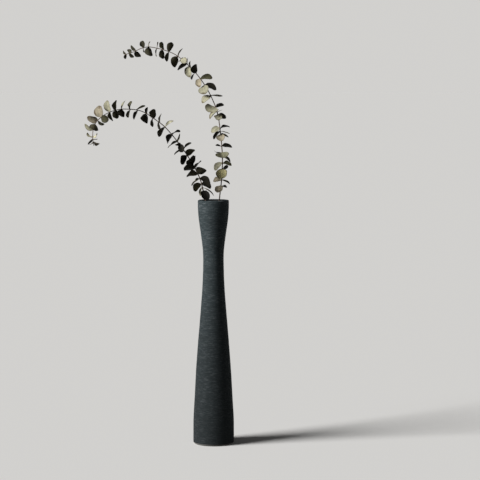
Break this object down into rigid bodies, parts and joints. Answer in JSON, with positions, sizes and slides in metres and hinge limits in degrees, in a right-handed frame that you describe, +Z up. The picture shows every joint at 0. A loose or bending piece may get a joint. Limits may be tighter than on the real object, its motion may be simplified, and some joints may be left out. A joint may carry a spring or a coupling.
{
  "type": "dried eucalyptus arrangement in vase",
  "caption": "Dried arching eucalyptus branches with paired round leaves, standing in a tall waisted stoneware vase with a flared mouth.",
  "frame": {"origin": "centre of the vase's flat underside, which stands on the surface", "axes": "+Z up along the vase's axis, the object's longest side; both branches arch over towards -X; +Y is the thin direction, away from the side that the picture shows"},
  "size_m": [0.3582, 0.1319, 0.9865],
  "materials": {
    "stoneware": "matte",
    "bark": "matte",
    "dried_leaf": "matte"
  },
  "bodies": {
    "root": {"vase": "stoneware", "branch_tall": "bark", "branch_low": "bark", "leaves_tall_01": "dried_leaf", "leaves_tall_02": "dried_leaf", "leaves_tall_03": "dried_leaf", "leaves_tall_04": "dried_leaf", "leaves_tall_05": "dried_leaf", "leaves_tall_06": "dried_leaf", "leaves_tall_07": "dried_leaf", "leaves_tall_08": "dried_leaf", "leaves_tall_09": "dried_leaf", "leaves_tall_10": "dried_leaf", "leaves_tall_11": "dried_leaf", "leaves_tall_12": "dried_leaf", "leaves_tall_13": "dried_leaf", "leaves_tall_14": "dried_leaf", "leaves_tall_15": "dried_leaf", "leaves_tall_16": "dried_leaf", "leaves_tall_17": "dried_leaf", "leaves_tall_18": "dried_leaf", "leaves_tall_19": "dried_leaf", "leaves_tall_20": "dried_leaf", "leaves_tall_21": "dried_leaf", "leaves_tall_22": "dried_leaf", "leaves_tall_23": "dried_leaf", "leaves_tall_24": "dried_leaf", "leaves_tall_25": "dried_leaf", "leaves_tall_26": "dried_leaf", "leaves_tall_27": "dried_leaf", "leaves_tall_28": "dried_leaf", "leaves_tall_29": "dried_leaf", "leaves_low_01": "dried_leaf", "leaves_low_02": "dried_leaf", "leaves_low_03": "dried_leaf", "leaves_low_04": "dried_leaf", "leaves_low_05": "dried_leaf", "leaves_low_06": "dried_leaf", "leaves_low_07": "dried_leaf", "leaves_low_08": "dried_leaf", "leaves_low_09": "dried_leaf", "leaves_low_10": "dried_leaf", "leaves_low_11": "dried_leaf", "leaves_low_12": "dried_leaf", "leaves_low_13": "dried_leaf", "leaves_low_14": "dried_leaf", "leaves_low_15": "dried_leaf", "leaves_low_16": "dried_leaf", "leaves_low_17": "dried_leaf", "leaves_low_18": "dried_leaf", "leaves_low_19": "dried_leaf", "leaves_low_20": "dried_leaf", "leaves_low_21": "dried_leaf", "leaves_low_22": "dried_leaf", "leaves_low_23": "dried_leaf", "leaves_low_24": "dried_leaf", "leaves_low_25": "dried_leaf", "leaves_low_26": "dried_leaf", "leaves_low_27": "dried_leaf", "leaves_low_28": "dried_leaf"}
  },
  "joints": []
}
